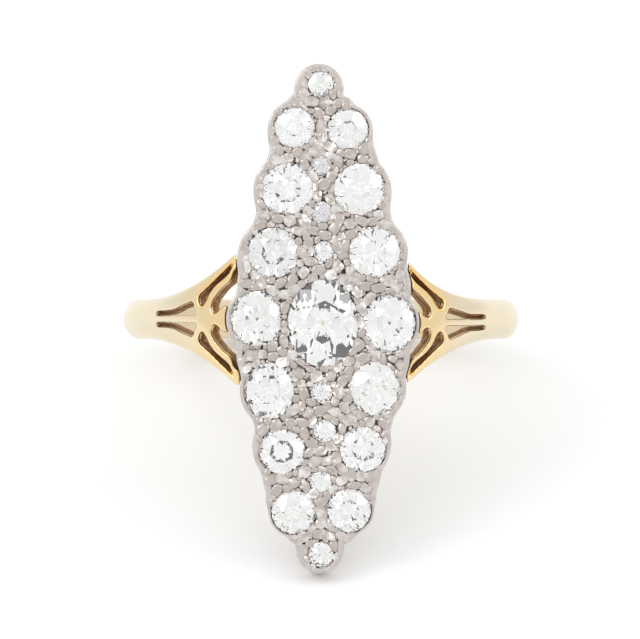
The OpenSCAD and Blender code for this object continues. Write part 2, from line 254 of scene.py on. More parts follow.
GOLD = worn_metal(
    "polished pale gold",
    bright=(0.80, 0.71, 0.535),
    patch=(0.79, 0.69, 0.49),
    edge=(0.95, 0.59, 0.15),
    dirt=(0.32, 0.145, 0.045),
    gloss=0.17,
    cloud=0.08,
    relief=0.000002,
    masks={"Hollow": "cut", "PaintedGlow": "painted_glow", "Satin": "bore"},
    sheen=0.0,
    Scratch=0.2,
)
# Platinum: its edge and deep colours are painted shade with grime, where the face lies low and round the
# seats
PLATINUM = worn_metal(
    "satin worn platinum",
    bright=(0.64, 0.60, 0.57),
    patch=(0.53, 0.485, 0.46),
    edge=(0.42, 0.37, 0.335),
    dirt=(0.10, 0.075, 0.06),
    gloss=0.30,
    cloud=0.16,
    relief=0.000011,
    masks={"Hollow": "hollow"},
    Patch_Size=2100.0,
    Scratch=0.55,
)
# Pads: their edge and deep colours are painted shade with grime, in the hollows between them
PAD_METAL = worn_metal(
    "rubbed platinum pads",
    bright=(0.83, 0.80, 0.775),
    patch=(0.53, 0.48, 0.445),
    edge=(0.42, 0.37, 0.335),
    dirt=(0.07, 0.052, 0.042),
    gloss=0.22,
    cloud=0.14,
    relief=0.000008,
    masks={"Hollow": "hollow", "Tone": "tone"},
    Patch_Size=2600.0,
    Scratch=0.35,
)

# The stones' refraction, and the scales of the patterns in their tint and in their polish
DIAMOND_IOR = 2.417
DRIFT_SIZE = 500.0
POLISH_SIZE = 4000.0


def stone_material(name, clear, tinted, dull=0.05):
    """Cut stone: clear, with a tint that drifts a little and the faintest wear on the polish."""
    m, t, p = new_material(name)
    p.inputs["Transmission Weight"].default_value = 1.0
    p.inputs["IOR"].default_value = DIAMOND_IOR
    at = linked(t, "ShaderNodeTexCoord").outputs["Object"]
    drift = ranged(t, clouds(t, at, DRIFT_SIZE, 1.0), 0.35, 0.65)
    t.links.new(mixed(t, drift, (*clear, 1), (*tinted, 1)), p.inputs["Base Color"])
    polish = ranged(t, clouds(t, at, POLISH_SIZE, 3.0), 0.5, 0.8, 0.0, dull)
    t.links.new(polish, p.inputs["Roughness"])
    return m


STONE = stone_material("old cut stone", (1.0, 1.0, 1.0), (0.97, 0.97, 0.955))
STONE_GREY = stone_material("old cut stone, greyer", (0.93, 0.93, 0.92), (0.86, 0.85, 0.83))
STONE_CLOUDY = stone_material("cloudy small stone", (0.86, 0.84, 0.86), (0.78, 0.75, 0.77), 0.5)

# Pieces


def keep(name, mesh, material, slot, *nodes):
    """Turns a mesh in the ring's frame into a finished piece that rides on the ring.

    The piece stands for the nodes that are named.
    """
    mesh.transform(TO_WORLD)
    mesh.update()
    mesh.materials.clear()
    mesh.materials.append(material)
    o = stand(name, mesh)
    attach(o, "root")
    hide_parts(*nodes)


def mesh_of(name, verts, faces, smooth_shade=True):
    me = bpy.data.meshes.new(name)
    me.from_pydata([tuple(map(float, v)) for v in verts], [], faces)
    me.validate()
    me.polygons.foreach_set("use_smooth", [smooth_shade] * len(me.polygons))
    return me


def outward_faces(me):
    """Merges doubled points and turns every face outwards."""
    bm = bmesh.new()
    bm.from_mesh(me)
    bmesh.ops.remove_doubles(bm, verts=bm.verts, dist=1e-6)
    bmesh.ops.recalc_face_normals(bm, faces=bm.faces)
    bm.to_mesh(me)
    bm.free()
    return me


def points_of(me):
    co = np.empty(len(me.vertices) * 3)
    me.vertices.foreach_get("co", co)
    return co.reshape(-1, 3)


def set_attribute(me, name, values):
    values = np.asarray(values, np.float32)
    if values.ndim == 2:
        me.attributes.new(name, "FLOAT_VECTOR", "POINT").data.foreach_set("vector", values.ravel())
    else:
        me.attributes.new(name, "FLOAT", "POINT").data.foreach_set("value", values)


def in_ring(name):
    """A CAD node's points in the ring's frame."""
    turn = np.array(TO_RING.to_3x3())
    return points_of(frame["nodes"][name].data) @ turn.T


# Stones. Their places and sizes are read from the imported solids.

STONES = {}
for label in frame["nodes"]:
    if label not in ("shank", "setting"):
        low, high = in_ring(label).min(0), in_ring(label).max(0)
        w, l = high[0] - low[0], high[1] - low[1]
        STONES[label] = dict(
            x=(low[0] + high[0]) / 2,
            y=(low[1] + high[1]) / 2,
            w=w,
            l=l,
            girdle=high[2] - CROWN * w,
        )

SMALL = [n for n in STONES if n.startswith(("small", "tip"))]

# Shares of a stone's half width: the table of a small stone and of a main one, the crown's waist,
# the pavilion's waist and the culet. Each is drawn between its two values.
SMALL_TABLE = (0.36, 0.46)
MAIN_TABLE = (0.46, 0.54)
WAIST = (0.76, 0.80)
LOW_WAIST = (0.52, 0.64)
CULET = (0.05, 0.08)

# How far the table may stand off centre, as a share too, and how far a corner strays round the stone
# for its looseness
TABLE_OFF = (-0.05, 0.05)
STRAY = 0.12


def cut_stone(name, s):
    """An old cut, uneven as hand-cut stones are: rings of points from the table to the culet."""
    draw = random.Random(name)
    small = name in SMALL
    n = 6 if small else 8
    start = draw.uniform(0, 2 * math.pi / n)
    w = s["w"]
    top, low = s["girdle"] + CROWN * w, s["girdle"] - GIRDLE * w
    bottom = low - PAVILION * w
    table = draw.uniform(*(SMALL_TABLE if small else MAIN_TABLE))
    waist, lower, culet = draw.uniform(*WAIST), draw.uniform(*LOW_WAIST), draw.uniform(*CULET)
    off_x, off_y = draw.uniform(*TABLE_OFF), draw.uniform(*TABLE_OFF)
    k = math.cos(math.pi / n)
    crown_z = top - (top - s["girdle"]) * (waist * k - table) / (1 - table)
    low_z = bottom + (low - bottom) * (lower * k - culet) / (1 - culet)

    def ring(count, shift, r, z, loose, off=0.0):
        out = []
        for i in range(count):
            a = start + shift + 2 * math.pi * i / count + draw.uniform(-1, 1) * loose * STRAY
            q = r * (1 + draw.uniform(-1, 1) * loose)
            x = s["x"] + (q * math.sin(a) + off * off_x) * w / 2
            y = s["y"] + (q * math.cos(a) + off * off_y) * s["l"] / 2
            out.append((x, y, z))
        return out

    half = math.pi / n
    pts = (
        ring(n, 0, table, top, 0.06, 1)
        + ring(n, half, waist, crown_z, 0.04, 0.5)
        + ring(2 * n, 0, 1.0, s["girdle"], 0.0)
        + ring(2 * n, 0, 1.0, low, 0.0)
        + ring(n, half, lower, low_z, 0.07)
        + ring(n, 0, culet, bottom, 0.05)
    )
    a, b, c, d, e, f = 0, n, 2 * n, 4 * n, 6 * n, 7 * n
    faces = [tuple(range(n - 1, -1, -1))]
    for i in range(n):
        j, h = (i + 1) % n, (i - 1) % n
        g0, g1, g2 = 2 * i, 2 * i + 1, (2 * i + 2) % (2 * n)
        faces += [
            (a + i, a + j, b + i),
            (a + i, b + i, c + g0, b + h),
            (b + i, c + g1, c + g0),
            (b + i, c + g2, c + g1),
            (e + i, d + g0, d + g1),
            (e + i, d + g1, d + g2),
            (f + i, e + h, d + g0, e + i),
            (f + i, e + i, f + j),
        ]
    faces += [(c + i, c + (i + 1) % (2 * n), d + (i + 1) % (2 * n), d + i) for i in range(2 * n)]
    faces.append(tuple(f + i for i in range(n)))
    return outward_faces(mesh_of(name, pts, faces, False))


# The stones that are greyer or cloudier than the rest
ODD_STONES = {"row_4_left": STONE_GREY, "small_1": STONE_CLOUDY, "small_2": STONE_CLOUDY}

for label, stone in STONES.items():
    keep("cut_" + label, cut_stone(label, stone), ODD_STONES.get(label, STONE), "stone", label)

# Head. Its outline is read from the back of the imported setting.


def back_outline():
    """The border of the setting's flat back, once round and counted against the clock."""
    bm = bmesh.new()
    bm.from_mesh(frame["nodes"]["setting"].data)
    bmesh.ops.transform(bm, matrix=TO_RING, verts=bm.verts)
    bmesh.ops.remove_doubles(bm, verts=bm.verts, dist=1e-4)
    low = min(v.co.z for v in bm.verts)
    flat = {f for f in bm.faces if all(v.co.z < low + 1e-3 for v in f.verts)}
    border = {}
    for e in bm.edges:
        if sum(f in flat for f in e.link_faces) == 1:
            for v, w in (e.verts, reversed(e.verts)):
                border.setdefault(v, []).append(w)
    loop, last = [max(border, key=lambda v: v.co.y)], None
    while True:
        here = loop[-1]
        ahead = [v for v in border[here] if v is not last]
        last = here
        if ahead[0] is loop[0]:
            break
        loop.append(ahead[0])
    out = np.array([v.co[:2] for v in loop])
    bm.free()
    x, y = out[:, 0], out[:, 1]
    if np.sum(x * np.roll(y, -1) - y * np.roll(x, -1)) < 0:
        out = out[::-1]
    return out


def resample(loop, step):
    """The same outline with points this far apart."""
    ends = np.vstack([loop, loop[:1]])
    far = np.concatenate([[0], np.cumsum(np.linalg.norm(np.diff(ends, axis=0), axis=1))])
    n = int(round(far[-1] / step))
    at = np.arange(n) * far[-1] / n
    return np.stack([np.interp(at, far, ends[:, 0]), np.interp(at, far, ends[:, 1])], 1)


def inward(loop):
    """The way into the outline at each of its points."""
    d = np.roll(loop, -1, 0) - np.roll(loop, 1, 0)
    d /= np.linalg.norm(d, axis=1)[:, None]
    return np.stack([-d[:, 1], d[:, 0]], 1)


def nearest(points, cloud, block=1500):
    """Each point's distance to the nearest point of a cloud, worked out in blocks."""
    out = []
    for i in range(0, len(points), block):
        apart = points[i : i + block, None] - cloud[None]
        out.append(np.sqrt((apart**2).sum(2).min(1)))
    return np.concatenate(out)


def within(points, loop):
    """Which points lie inside the outline."""
    x, y = points[:, 0], points[:, 1]
    hit = np.zeros(len(points), bool)
    for (ax, ay), (bx, by) in zip(loop, np.roll(loop, -1, 0)):
        if ay != by:
            hit ^= ((ay > y) != (by > y)) & (x < (bx - ax) * (y - ay) / (by - ay) + ax)
    return hit


def eased(loop, times):
    """The outline with its corners worn down."""
    for _ in range(times):
        loop = (np.roll(loop, 1, 0) + 2 * loop + np.roll(loop, -1, 0)) / 4
    return loop


# How far apart the outline's points are, and those of the finer one that distances are taken from
OUTLINE_STEP = 0.09
FINE_STEP = 0.025
EASE_TIMES = 8

OUTLINE = eased(resample(back_outline(), OUTLINE_STEP), EASE_TIMES)
OUTLINE_FINE = resample(OUTLINE, FINE_STEP)
IN = inward(OUTLINE)


def stone_gap(points):
    """Distance to the nearest stone's edge, less than 0 on a stone."""
    best = np.full(len(points), 9.0)
    for s in STONES.values():
        dx, dy = points[:, 0] - s["x"], points[:, 1] - s["y"]
        d = np.maximum(np.hypot(dx, dy), 1e-6)
        reach = 0.5 / np.sqrt((dx / d / s["w"]) ** 2 + (dy / d / s["l"]) ** 2)
        best = np.minimum(best, d - reach)
    return best


# Width of the rim and radius of its outer edge, and how far the field inside it lies below it
RIM = 0.38
EDGE_R = 0.10
FIELD_DROP = 0.19

# Gap between a stone and its seat, at the girdle and below it
HOLE_GAP = 0.04
BORE_GAP = 0.03

# Half the width and half the length of an area that takes in the whole head. Points are laid on it in
# rows, which lie a little closer than the points in them, and strayed by this share of the step.
REACH = (5, 12.6)
FIELD_STEP = 0.085
ROW_SHARE = 0.87
SCATTER = 0.22


def scatter(step, seed):
    """Points in rows over the whole area, each strayed by chance."""
    draw = np.random.default_rng(seed)
    rows = []
    for j, y in enumerate(np.arange(-REACH[1], REACH[1], step * ROW_SHARE)):
        x = np.arange(-REACH[0], REACH[0], step) + (j % 2) * step / 2
        rows.append(np.stack([x, np.full(len(x), y)], 1))
    pts = np.vstack(rows)
    return pts + draw.uniform(-SCATTER, SCATTER, pts.shape) * step


# A pad's burnished flat lies at this share of its height
PAD_TOP = 0.62

# Pads are set in rounds, each with its radius. They may lap over a stone, stay this far off the
# outline and may overlap each other by the rest of the packing share. The crumbs lie lower.
PAD_RADII = (0.30, 0.26, 0.22, 0.18, 0.15, 0.12, 0.09)
PAD_LAP = 0.10
PAD_OFF_EDGE = 0.10
PACKING = 0.84
CRUMB_R = 0.13
CRUMB_DROP = 0.07

# Drawn for each pad: how far its turn strays from its stone's, the shares of its radius that its half
# length and half width take, its height and how far its top lies below the face
PAD_STRAY = 0.35
PAD_LONG = (1.0, 1.45)
PAD_WIDE = (0.78, 1.04)
PAD_HIGH = (0.10, 0.17)
PAD_SUNK = (-0.05, 0.06)

# The metal between the pads is painted darker, painted shade with grime, from this far below the
# face to this far, up to this share
PAD_SHADE_AND_DIRT_FROM = 0.09
PAD_SHADE_AND_DIRT_TO = 0.24
PAD_SHADE_AND_DIRT = 0.85

# Long bars of metal left standing: place, half length, half width and turn
BARS = [(-0.02, 9.25, 0.62, 0.20, 1.6), (0.16, 9.05, 0.42, 0.13, 1.45)]
BAR_SUNK = 0.06
BAR_HIGH = 0.16
BAR_TONE = 0.2


def stone_beside(x, y):
    def far(s):
        return math.hypot(x - s["x"], y - s["y"]) - (s["w"] + s["l"]) / 4

    return min(STONES.values(), key=far)


def pad_places():
    """Pads of metal crowd the field between the stones, the largest first, and lap over their edges.

    Each has a place, a half length along its nearest stone, a half width, a height, a turn and a tone.
    """
    spots = scatter(FIELD_STEP, 3)
    spots = spots[within(spots, OUTLINE)]
    gap, edge = stone_gap(spots), nearest(spots, OUTLINE_FINE)
    order = np.random.default_rng(11).permutation(len(spots))
    kept = np.full((1, 3), 99.0)
    for r in PAD_RADII:
        for i in order:
            if gap[i] > r - PAD_LAP and edge[i] > r + PAD_OFF_EDGE:
                apart = np.hypot(kept[:, 0] - spots[i, 0], kept[:, 1] - spots[i, 1])
                if (apart / (r + kept[:, 2])).min() > PACKING:
                    kept = np.vstack([kept, [*spots[i], r]])
    draw = random.Random(21)
    out = []
    for x, y, r in kept[1:]:
        beside = stone_beside(x, y)
        turn = math.atan2(y - beside["y"], x - beside["x"]) + math.pi / 2 + draw.gauss(0, PAD_STRAY)
        long, wide = draw.uniform(*PAD_LONG) * r, draw.uniform(*PAD_WIDE) * r
        high = draw.uniform(*PAD_HIGH)
        top = face_z(y) - draw.uniform(*PAD_SUNK) - CRUMB_DROP * (r < CRUMB_R)
        out.append((x, y, top - PAD_TOP * high, long, wide, high, turn, draw.random()))
    for x, y, long, wide, turn in BARS:
        out.append((x, y, face_z(y) - BAR_SUNK, long, wide, BAR_HIGH, turn, BAR_TONE))
    return np.array(out)


PADS = pad_places()


def stone_loop(s, share, grow, n):
    """Points round a stone's outline, at a share of its size and this much more all round."""
    a = np.arange(n) * 2 * math.pi / n
    x = s["x"] + (share * s["w"] / 2 + grow) * np.cos(a)
    y = s["y"] + (share * s["l"] / 2 + grow) * np.sin(a)
    return np.stack([x, y], 1)


def seat_sides(s):
    """How many points go round the seat of a main stone or of a small one."""
    return 64 if s["w"] > 1.5 else 40


# The face's noises, each with its scale and its layer. The rough and the fine one pit the field, and
# the wave lets the rim's inner edge wander.
ROUGH = (5, 1.5)
FINE = (14, 7.5)
WAVE = (1.1, 4.5)
ROUGH_DEPTH = 0.09
FINE_DEPTH = 0.07
WANDER = 0.12


def noise_at(pts, scale, layer):
    return np.array([noise.noise(Vector((x * scale, y * scale, layer))) for x, y in pts])


def top_height(pts):
    """Height of the head's face: a rounded rim along the outline and a rough, lower field inside it."""
    edge, gap = nearest(pts, OUTLINE_FINE), stone_gap(pts)
    z = face_z(pts[:, 1])
    near = np.clip(EDGE_R - edge, 0, EDGE_R)
    z = z - (EDGE_R - np.sqrt(np.maximum(EDGE_R**2 - near**2, 0)))
    rough, fine, wave = (noise_at(pts, *kind) for kind in (ROUGH, FINE, WAVE))
    inside = smooth(RIM - 0.09 + WANDER * wave, RIM + 0.07 + WANDER * wave, edge)
    z = z - inside * (FIELD_DROP + ROUGH_DEPTH * rough + FINE_DEPTH * fine)
    z = z - 0.02 * np.abs(wave) - 0.012 * fine
    z = z - 0.04 * (1 - smooth(0.03, 0.12, gap)) * (1 - inside)
    return z, inside, gap


# Lines of points run this far inside the outline and outside each stone. Where such a line folds
# over, its points come nearer than they should, and those that do so by the slack are left out.
RIM_LINES = [0.015, 0.04, 0.08, 0.13, 0.2] + [RIM + d for d in (-0.06, -0.02, 0.03, 0.08)]
SEAT_LINES = (HOLE_GAP + 0.035, HOLE_GAP + 0.09)
SLACK = 0.012

# The loose points of the field keep this far off the outline, and all loose points keep off the
# outline and the seats by the least that leaves no sliver
FIELD_OFF_EDGE = 0.1
LEAST_OFF_EDGE = 0.01
LEAST_OFF_SEAT = HOLE_GAP + 0.02

# Lines of points run round the head's wall at these shares of its height, and its foot is bevelled
WALL_LINES = (0.08, 0.3, 0.6, 0.9, 0.98)
FOOT_BEVEL = 0.03


def ring_edges(sizes):
    """The edges of closed rings of points that follow one another, and where each ring starts."""
    edges, starts, first = [], [], 0
    for n in sizes:
        edges += [(first + i, first + (i + 1) % n) for i in range(n)]
        starts.append(first)
        first += n
    return edges, starts


def triangles(flat, edges):
    """Joins flat points into triangles: points, triangles, their middles and the old points' numbers."""
    points, _, faces, olds, _, _ = delaunay_2d_cdt([Vector(p) for p in flat], edges, [], 0, 1e-5)
    points = np.array([v[:] for v in points])
    return points, faces, np.array([points[list(f)].mean(0) for f in faces]), olds


def face_points():
    """The face's outline and seats as rings of points, and the loose points between them."""
    rings = [OUTLINE] + [stone_loop(s, 1, HOLE_GAP, seat_sides(s)) for s in STONES.values()]
    loose = []
    for d in RIM_LINES:
        q = OUTLINE + IN * d
        loose.append(q[nearest(q, OUTLINE_FINE) > d - SLACK])
    for s in STONES.values():
        for grow in SEAT_LINES:
            loose.append(stone_loop(s, 1, grow, seat_sides(s)))
    grid = scatter(FIELD_STEP, 5)
    loose.append(grid[nearest(grid, OUTLINE_FINE) > FIELD_OFF_EDGE])
    loose = np.vstack(loose)
    loose = loose[within(loose, OUTLINE)]
    apart = (stone_gap(loose) > LEAST_OFF_SEAT) & (nearest(loose, OUTLINE_FINE) > LEAST_OFF_EDGE)
    return rings, loose[apart]


def head_mesh():
    """The head: its face, its wall, the seats cut through it and its flat back."""
    outlines, loose = face_points()
    edges, starts = ring_edges([len(q) for q in outlines])
    pts, face_parts, mid, olds = triangles(np.vstack(outlines + [loose]), edges)
    new_at = {old: i for i, group in enumerate(olds) for old in group}
    on_face = within(mid, OUTLINE) & (stone_gap(mid) > HOLE_GAP - SLACK)
    z, inside, gap = top_height(pts)
    # The face is painted darker where the field lies below the rim and along the stones: painted shade with
    # grime, kept in the hollow mask
    broken = smooth(-0.25, 0.3, noise_at(pts, 1.7, 9.5))
    hollow = inside * (0.62 + 0.3 * noise_at(pts, 4, 3.5)) + (1 - smooth(0.02, 0.09, gap)) * broken * 0.8
    verts = [np.array([*p, h]) for p, h in zip(pts, z)]
    dirt = list(np.clip(hollow, 0, 1))
    faces = [tuple(f) for f, ok in zip(face_parts, on_face) if ok]

    def strip(a, b):
        n = len(a)
        for i in range(n):
            faces.append((a[i], a[(i + 1) % n], b[(i + 1) % n], b[i]))

    def add(loop, height, shade):
        at = len(verts)
        height = np.broadcast_to(height, len(loop))
        verts.extend(np.array([*p, h]) for p, h in zip(loop, height))
        dirt.extend([shade] * len(loop))
        return list(range(at, at + len(loop)))

    last = [new_at[starts[0] + i] for i in range(len(OUTLINE))]
    top = z[last]
    rings = [add(OUTLINE, top + (HEAD_BACK - top) * share, 0.0) for share in WALL_LINES]
    rings.append(add(OUTLINE + IN * FOOT_BEVEL, HEAD_BACK, 0.0))
    for ring in rings:
        strip(ring, last)
        last = ring
    back = [last]
    for s, first, outline in zip(STONES.values(), starts[1:], outlines[1:]):
        n = len(outline)
        last = [new_at[first + i] for i in range(n)]
        ledge = s["girdle"] - GIRDLE * s["w"]
        deep = ledge - (1 - HOLE_SHARE) * s["w"] / 2 / SEAT_SLOPE
        # Each ring of a seat's wall is painted darker by its shade: painted shade round and under the
        # stones
        for share, grow, height, shade in (
            (1, HOLE_GAP, np.minimum(z[last] - 0.02, ledge), 0.5),
            (HOLE_SHARE, BORE_GAP, deep, 0.15),
            (HOLE_SHARE, BORE_GAP, HEAD_BACK, 0.1),
        ):
            ring = add(stone_loop(s, share, grow, n), height, shade)
            strip(last, ring)
            last = ring
        back.append(last)
    back_ids = [i for ring in back for i in ring]
    edges, _ = ring_edges([len(ring) for ring in back])
    _, back_parts, mid, olds = triangles([verts[i][:2] for i in back_ids], edges)
    on_back = within(mid, OUTLINE)
    for s in STONES.values():
        q = ((mid[:, 0] - s["x"]) / (HOLE_SHARE * s["w"] / 2 + BORE_GAP)) ** 2
        q += ((mid[:, 1] - s["y"]) / (HOLE_SHARE * s["l"] / 2 + BORE_GAP)) ** 2
        on_back &= q > 0.99
    ids = [back_ids[o[0]] for o in olds]
    faces.extend(tuple(ids[i] for i in reversed(f)) for f, ok in zip(back_parts, on_back) if ok)
    me = mesh_of("head", verts, faces)
    set_attribute(me, "hollow", dirt)
    return me


keep("head", head_mesh(), PLATINUM, "platinum", "setting")

# Pads of metal that hold the stones, one for each place


def pad_tree():
    """One uneven, flat-topped pad at each point, as large and turned as the point's attributes say."""
    g = bpy.data.node_groups.new("setting pads", "GeometryNodeTree")
    g.interface.new_socket("Geometry", in_out="INPUT", socket_type="NodeSocketGeometry")
    for label, kind, value in (
        ("Squareness", "NodeSocketFloat", 3.4),
        ("Burnished Top", "NodeSocketFloat", PAD_TOP),
        ("Unevenness", "NodeSocketFloat", 0.20),
        ("Unevenness Scale", "NodeSocketFloat", 4.6),
        ("Tilt", "NodeSocketFloat", 0.30),
        ("Faceted Share", "NodeSocketFloat", 0.5),
        ("Seed", "NodeSocketInt", 4),
    ):
        g.interface.new_socket(label, in_out="INPUT", socket_type=kind).default_value = value
    g.interface.new_socket("Geometry", in_out="OUTPUT", socket_type="NodeSocketGeometry")
    i = g.nodes.new("NodeGroupInput").outputs

    def vector(op, a, b):
        return linked(g, "ShaderNodeVectorMath", {"operation": op}, **{"_0": a, "_1": b}).outputs[0]

    def scaled(v, by):
        return linked(g, "ShaderNodeVectorMath", {"operation": "SCALE"}, Vector=v, Scale=by).outputs[0]

    def stored(kind, name):
        return linked(g, "GeometryNodeInputNamedAttribute", {"data_type": kind}, Name=name).outputs[0]

    # A bead is squared, and its top cut flat
    bead = linked(g, "GeometryNodeMeshIcoSphere", Radius=1.0, Subdivisions=2).outputs[0]
    at = linked(g, "GeometryNodeInputPosition").outputs[0]
    parts = linked(g, "ShaderNodeSeparateXYZ", Vector=at).outputs
    powers = [maths(g, "POWER", maths(g, "ABSOLUTE", c), i["Squareness"]) for c in parts]
    total = maths(g, "ADD", maths(g, "ADD", powers[0], powers[1]), powers[2])
    swell = maths(g, "POWER", total, maths(g, "DIVIDE", -1.0, i["Squareness"]))
    x, y, z = linked(g, "ShaderNodeSeparateXYZ", Vector=scaled(at, swell)).outputs
    top = maths(g, "MINIMUM", z, i["Burnished Top"])
    flat = linked(g, "ShaderNodeCombineXYZ", X=x, Y=y, Z=top).outputs[0]
    pad = linked(g, "GeometryNodeSetPosition", Geometry=bead, Position=flat).outputs[0]

    # It is set at each point, and tilted a little by chance
    seed = maths(g, "ADD", i["Seed"], 1)
    ends = dict(Min=(-1, -1, 0), Max=(1, 1, 0))
    chance = linked(g, "FunctionNodeRandomValue", {"data_type": "FLOAT_VECTOR"}, Seed=seed, **ends)
    lean = linked(g, "ShaderNodeCombineXYZ", X=i["Tilt"], Y=i["Tilt"], Z=0.0).outputs[0]
    loose = vector("MULTIPLY", chance.outputs[0], lean)
    turn = vector("ADD", stored("FLOAT_VECTOR", "turn"), loose)
    wires = dict(Points=i["Geometry"], Instance=pad, Rotation=turn, Scale=stored("FLOAT_VECTOR", "size"))
    placed = linked(g, "GeometryNodeInstanceOnPoints", **wires).outputs[0]
    real = linked(g, "GeometryNodeRealizeInstances", Geometry=placed).outputs[0]

    # It is made uneven, and the brighter half of the pads keeps its facets
    bumps = linked(g, "ShaderNodeTexNoise", Vector=at, Scale=i["Unevenness Scale"], Detail=2.5)
    push = scaled(vector("SUBTRACT", bumps.outputs["Color"], (0.5, 0.5, 0.5)), i["Unevenness"])
    moved = linked(g, "GeometryNodeSetPosition", Geometry=real, Offset=push).outputs[0]
    soft = maths(g, "GREATER_THAN", stored("FLOAT", "tone"), i["Faceted Share"])
    shaded = linked(g, "GeometryNodeSetShadeSmooth", Geometry=moved, Shade_Smooth=soft).outputs[0]
    done = linked(g, "GeometryNodeSetMaterial", Geometry=shaded, Material=PAD_METAL).outputs[0]
    g.links.new(done, g.nodes.new("NodeGroupOutput").inputs[0])
    return g


def evaluated(o, **more):
    """A new mesh, as the object's modifiers make it."""
    dg = bpy.context.evaluated_depsgraph_get()
    return bpy.data.meshes.new_from_object(o.evaluated_get(dg), depsgraph=dg, **more)


def pad_mesh():
    x, y, z, long, wide, high, turn, tone = PADS.T
    seeds = mesh_of("pad places", np.stack([x, y, z], 1), [])
    set_attribute(seeds, "size", np.stack([long, wide, high], 1))
    set_attribute(seeds, "turn", np.stack([0 * turn, 0 * turn, turn], 1))
    set_attribute(seeds, "tone", tone)
    o = stand("pad places", seeds)
    m = o.modifiers.new("pads", "NODES")
    m.node_group = pad_tree()
    for item in m.node_group.interface.items_tree:
        if item.item_type == "SOCKET" and item.in_out == "INPUT" and item.name != "Geometry":
            m[item.identifier] = item.default_value
    me = evaluated(o, preserve_all_data_layers=True)
    o.modifiers.clear()
    bpy.data.objects.remove(o)
    p = points_of(me)
    # Painted shade with grime between the pads, by how deep each point lies below the face
    sunk = face_z(p[:, 1]) - p[:, 2]
    set_attribute(me, "hollow", smooth(PAD_SHADE_AND_DIRT_FROM, PAD_SHADE_AND_DIRT_TO, sunk) * PAD_SHADE_AND_DIRT)
    return me


keep("pads", pad_mesh(), PAD_METAL, "platinum")

# Shank

# How the shoulders widen towards the head, where they rise above the band, in degrees from the head,
# and how much of the band's dome they lose. The slim one is the upper half of the right shoulder.
FLARE_POWER = 1.95
SLIM_POWER = 2.8
SLIM_SHARE = 0.88
RISE_FROM = 75
RISE_TO = 24
RISE_POWER = 1.5
DOME_LOSS = 0.45


def along(x):
    """The share of the way from the start of the flare to the head."""
    return clamp((FLARE_X - x) / (FLARE_X - JOIN_X))


def half_w(x, slim=False):
    """Half the band's width."""
    u = along(x)
    flared = SLIM_SHARE * u**SLIM_POWER if slim else u**FLARE_POWER
    return BAND_W / 2 + (SHOULDER_W - BAND_W) / 2 * flared


def crest_r(a):
    """The radius of the band's crest, at an angle from the head. The palm is worn flat."""
    if a > 90:
        return min(BAND_R, (BAND_R - PALM_FLAT) / max(0.01, math.cos(math.radians(180 - a))))
    return BAND_R + SHOULDER_RISE * clamp((RISE_FROM - a) / (RISE_FROM - RISE_TO)) ** RISE_POWER


DOME_R = ((BAND_W / 2) ** 2 + BAND_DOME**2) / (2 * BAND_DOME)
FULL = math.asin(BAND_W / 2 / DOME_R)


def skin_r(a, x, share):
    """The radius of the band's domed skin, at a share of the half width."""
    dome = BAND_DOME * (1 - DOME_LOSS * along(x))
    bend = math.asin(clamp(share, -1, 1) * math.sin(FULL))
    return crest_r(a) - dome * (1 - math.cos(bend)) / (1 - math.cos(FULL))


def crest_and_edge(a):
    """How far across the finger the band's crest and its edges lie, at an angle from the head."""
    if a > 90:
        return FLARE_X, FLARE_X
    turn = math.sin(math.radians(a))
    crest = crest_r(a) * turn
    return crest, skin_r(a, crest, 1) * turn


def angle_at(x):
    """The angle from the head at which the crest lies this far across."""
    a = 45.0
    for _ in range(6):
        a = math.degrees(math.asin(min(1, x / crest_r(a))))
    return a


def band_blank():
    """The band before it is bored and pierced: its section, swept round from one end to the other."""
    start = math.degrees(math.asin(END_X / BAND_R))
    steps, across, bored = 220, 28, 0.95 * FINGER_R
    rows = []
    for k in range(steps + 1):
        a = start + (360 - 2 * start) * k / steps
        side = min(a, 360 - a)
        x, edge_x = crest_and_edge(side)
        low, high = half_w(edge_x), half_w(edge_x, a < 90)
        s, c = math.sin(math.radians(a)), math.cos(math.radians(a))
        ring = [(bored, high), (bored, 0.0), (bored, -low)]
        for i in range(across + 1):
            v = -1 + 2 * i / across
            ring.append((skin_r(side, x, v), v * (high if v > 0 else low)))
        rows.append([(r * s, y, r * c) for r, y in ring])
    n = len(rows[0])
    verts = [p for r in rows for p in r]
    faces = [tuple(range(n)), tuple(range(len(verts) - 1, len(verts) - n - 1, -1))]
    for k in range(steps):
        for i in range(n):
            j = (i + 1) % n
            faces.append((k * n + i, k * n + j, k * n + n + j, k * n + n + i))
    return outward_faces(mesh_of("band", verts, faces))


# Outlines of a shoulder's three kinds of piercing, as shares of the way from the flare to the head
# and of the half width there
WEDGE = [
    (0.16, 0.38), (0.32, 0.37), (0.42, 0.48), (0.53, 0.54),
    (0.55, 0.34), (0.575, 0.20), (0.57, 0.12), (0.35, 0.16), (0.16, 0.18),
]
CRESCENT = [
    (0.60, 0.62), (0.68, 0.73), (0.745, 0.79), (0.81, 0.84), (0.88, 0.87), (0.94, 0.90), (0.98, 0.93),
    (0.95, 0.86), (0.92, 0.79), (0.88, 0.76), (0.81, 0.735), (0.76, 0.70), (0.705, 0.60), (0.665, 0.43),
    (0.63, 0.34), (0.61, 0.43),
]
GAP = [
    (0.735, 0.24), (0.755, 0.125), (0.79, 0.14), (0.835, 0.215), (0.87, 0.24), (1.06, 0.24),
    (1.06, 0.76), (0.975, 0.74), (0.95, 0.66), (0.92, 0.61), (0.87, 0.59), (0.83, 0.55),
    (0.80, 0.50), (0.76, 0.43), (0.74, 0.34),
]

# The wedges and gaps of the right shoulder are sawn a little lower than those of the left one
RIGHT_LOW = 0.08 * BAND_W

